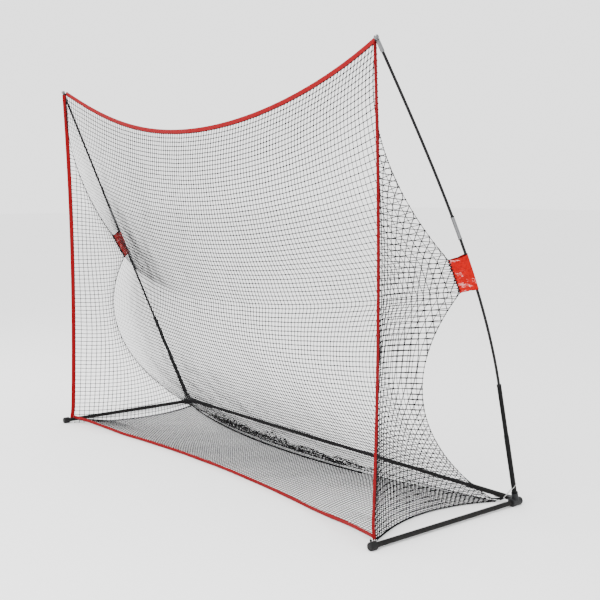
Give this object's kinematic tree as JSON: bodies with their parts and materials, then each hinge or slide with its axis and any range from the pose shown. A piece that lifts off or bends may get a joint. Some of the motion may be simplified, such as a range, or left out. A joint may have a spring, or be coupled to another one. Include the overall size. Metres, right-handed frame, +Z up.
{
  "type": "golf hitting net",
  "caption": "Free-standing golf hitting net: U-shaped tube floor frame, two bent poles and a sack of black netting with red edge tapes, open to the front.",
  "frame": {"origin": "on the floor under the middle of the part's box", "axes": "+X across the mouth to the right, +Y from the mouth to the back, +Z up"},
  "size_m": [3.235, 0.963, 2.1358],
  "materials": {
    "satin_black_steel": "satin black powder coat",
    "black_plastic": "moulded black, fine grain",
    "grey_plastic": "moulded dark grey, fine grain",
    "fibreglass": "dark grey fibreglass rod, satin",
    "bright_steel": "bright plated steel",
    "black_twine": "knotless black polyester twine",
    "red_binding": "woven red polyester tape, stitched",
    "red_coated_fabric": "red coated cloth with a gloss, creased",
    "grey_elastic": "light grey elastic cord"
  },
  "bodies": {
    "frame": {"side_tube_left": "satin_black_steel", "side_tube_right": "satin_black_steel", "front_cap_left": "black_plastic", "front_cap_right": "black_plastic", "corner_hub_left": "grey_plastic", "corner_hub_right": "grey_plastic", "rear_cap_left": "black_plastic", "rear_cap_right": "black_plastic", "pole_sleeve_left": "satin_black_steel", "pole_sleeve_right": "satin_black_steel", "pole_base_tube_left": "satin_black_steel", "pole_base_tube_right": "satin_black_steel", "tube_plug_left": "black_plastic", "tube_plug_right": "black_plastic", "lower_rod_left": "fibreglass", "lower_rod_right": "fibreglass", "ferrule_left": "bright_steel", "ferrule_right": "bright_steel", "upper_rod_left": "fibreglass", "upper_rod_right": "fibreglass", "pole_tip_left": "bright_steel", "pole_tip_right": "bright_steel", "crossbar_sleeve_left": "satin_black_steel", "crossbar_sleeve_right": "satin_black_steel", "hinge_bolt_left": "bright_steel", "hinge_bolt_right": "bright_steel", "crossbar_left": "satin_black_steel", "crossbar_right": "satin_black_steel", "net_side_left": "black_twine", "net_side_right": "black_twine", "binding_side_left": "red_binding", "binding_side_right": "red_binding", "pole_patch_left": "red_coated_fabric", "pole_patch_right": "red_coated_fabric", "side_seam_cord_left": "black_twine", "side_seam_cord_right": "black_twine", "top_loop_left": "black_twine", "top_loop_right": "black_twine", "front_loop_left": "black_twine", "front_loop_right": "black_twine", "rear_loop_left": "grey_elastic", "rear_loop_right": "grey_elastic", "crossbar_middle": "satin_black_steel", "net_back_foot": "black_twine", "net_floor": "black_twine", "binding_top": "red_binding", "binding_front": "red_binding", "rear_seam_cord": "black_twine", "net_back_top_left": "black_twine", "net_back_top_middle": "black_twine", "net_back_top_right": "black_twine", "net_back_low_left": "black_twine", "net_back_low_middle": "black_twine", "net_back_low_right": "black_twine"},
    "pole_button_left": {"pole_button_left": "bright_steel"},
    "pole_button_right": {"pole_button_right": "bright_steel"},
    "sleeve_button_left": {"sleeve_button_left": "bright_steel"},
    "sleeve_button_right": {"sleeve_button_right": "bright_steel"},
    "crossbar_button_left": {"crossbar_button_left": "bright_steel"},
    "crossbar_button_right": {"crossbar_button_right": "bright_steel"}
  },
  "joints": [
    {"name": "pole_button_left_press", "type": "slide", "parent": "frame", "child": "pole_button_left", "axis": [-0.9919, 0.0437, -0.1196], "range_m": [0, 0.004], "stiffness_N_per_m": 300},
    {"name": "pole_button_right_press", "type": "slide", "parent": "frame", "child": "pole_button_right", "axis": [0.9919, 0.0437, -0.1196], "range_m": [0, 0.004], "stiffness_N_per_m": 300},
    {"name": "sleeve_button_left_press", "type": "slide", "parent": "frame", "child": "sleeve_button_left", "axis": [0, 0, -1], "range_m": [0, 0.004], "stiffness_N_per_m": 300},
    {"name": "sleeve_button_right_press", "type": "slide", "parent": "frame", "child": "sleeve_button_right", "axis": [0, 0, -1], "range_m": [0, 0.004], "stiffness_N_per_m": 300},
    {"name": "crossbar_button_left_press", "type": "slide", "parent": "frame", "child": "crossbar_button_left", "axis": [0, 0, -1], "range_m": [0, 0.004], "stiffness_N_per_m": 300},
    {"name": "crossbar_button_right_press", "type": "slide", "parent": "frame", "child": "crossbar_button_right", "axis": [0, 0, -1], "range_m": [0, 0.004], "stiffness_N_per_m": 300}
  ]
}
